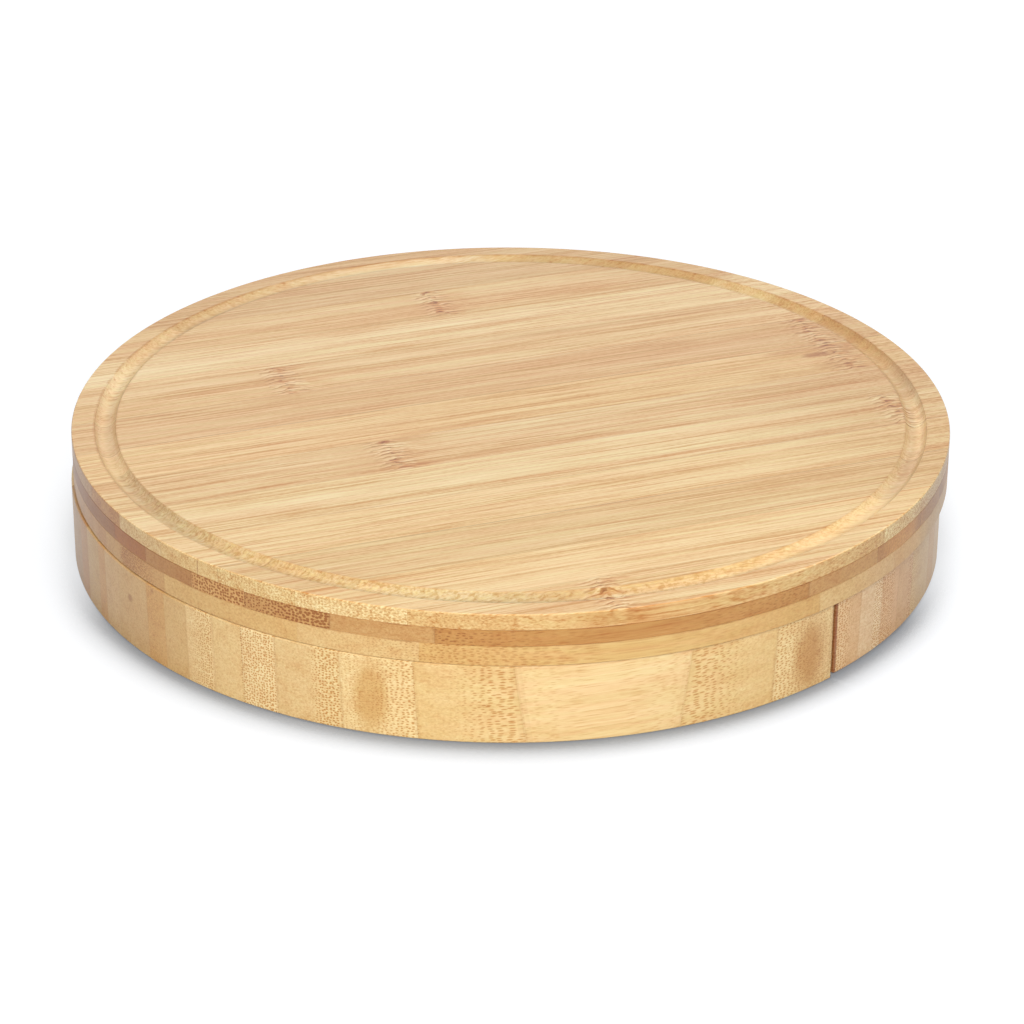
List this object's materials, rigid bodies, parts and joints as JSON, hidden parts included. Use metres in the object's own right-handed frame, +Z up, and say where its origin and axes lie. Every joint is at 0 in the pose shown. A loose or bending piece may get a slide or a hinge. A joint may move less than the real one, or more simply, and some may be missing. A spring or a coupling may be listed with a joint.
{
  "type": "cheese board",
  "caption": "Round laminated bamboo cheese board with a juice groove and a half-round tray of cheese tools that swings out from under the top.",
  "frame": {"origin": "on the table, under the centre of the round top", "axes": "+Z up out of the serving face; +Y away from the picture's viewer and +X to that viewer's right, so that the saw cut between tray and block meets the rim at the front right"},
  "size_m": [0.2608, 0.2602, 0.04],
  "materials": {
    "light_bamboo": "satin oiled bamboo, strip and vascular bundle figure",
    "dark_bamboo": "satin caramelised bamboo",
    "handle_bamboo": "satin oiled bamboo",
    "blade_steel": "brushed stainless",
    "screw_steel": "zinc plated",
    "insert_brass": "machined",
    "magnet": "nickel plated",
    "washer_nylon": "matt natural nylon",
    "foot_rubber": "matt black rubber"
  },
  "bodies": {
    "board": {"top_ply": "light_bamboo", "core_ply": "dark_bamboo", "under_ply": "light_bamboo", "base_block": "light_bamboo", "foot_1": "foot_rubber", "foot_2": "foot_rubber", "foot_3": "foot_rubber", "block_magnet": "magnet", "pivot_insert": "insert_brass", "pivot_screw": "screw_steel", "lower_washer": "washer_nylon", "upper_washer": "washer_nylon"},
    "tray": {"tray_block": "light_bamboo", "tray_magnet": "magnet", "tray_glide_1": "washer_nylon", "tray_glide_2": "washer_nylon", "knife_handle": "handle_bamboo", "knife_ferrule": "blade_steel", "knife_blade": "blade_steel", "cleaver_handle": "handle_bamboo", "cleaver_ferrule": "blade_steel", "cleaver_blade": "blade_steel", "chisel_handle": "handle_bamboo", "chisel_ferrule": "blade_steel", "chisel_blade": "blade_steel", "fork_handle": "handle_bamboo", "fork_ferrule": "blade_steel", "fork_blade": "blade_steel"}
  },
  "joints": [
    {"name": "tray_swing", "type": "hinge", "parent": "board", "child": "tray", "pos_m": [-0.09704, 0.06343, 0.0122], "axis": [0, 0, -1], "range_deg": [0, 90]}
  ]
}
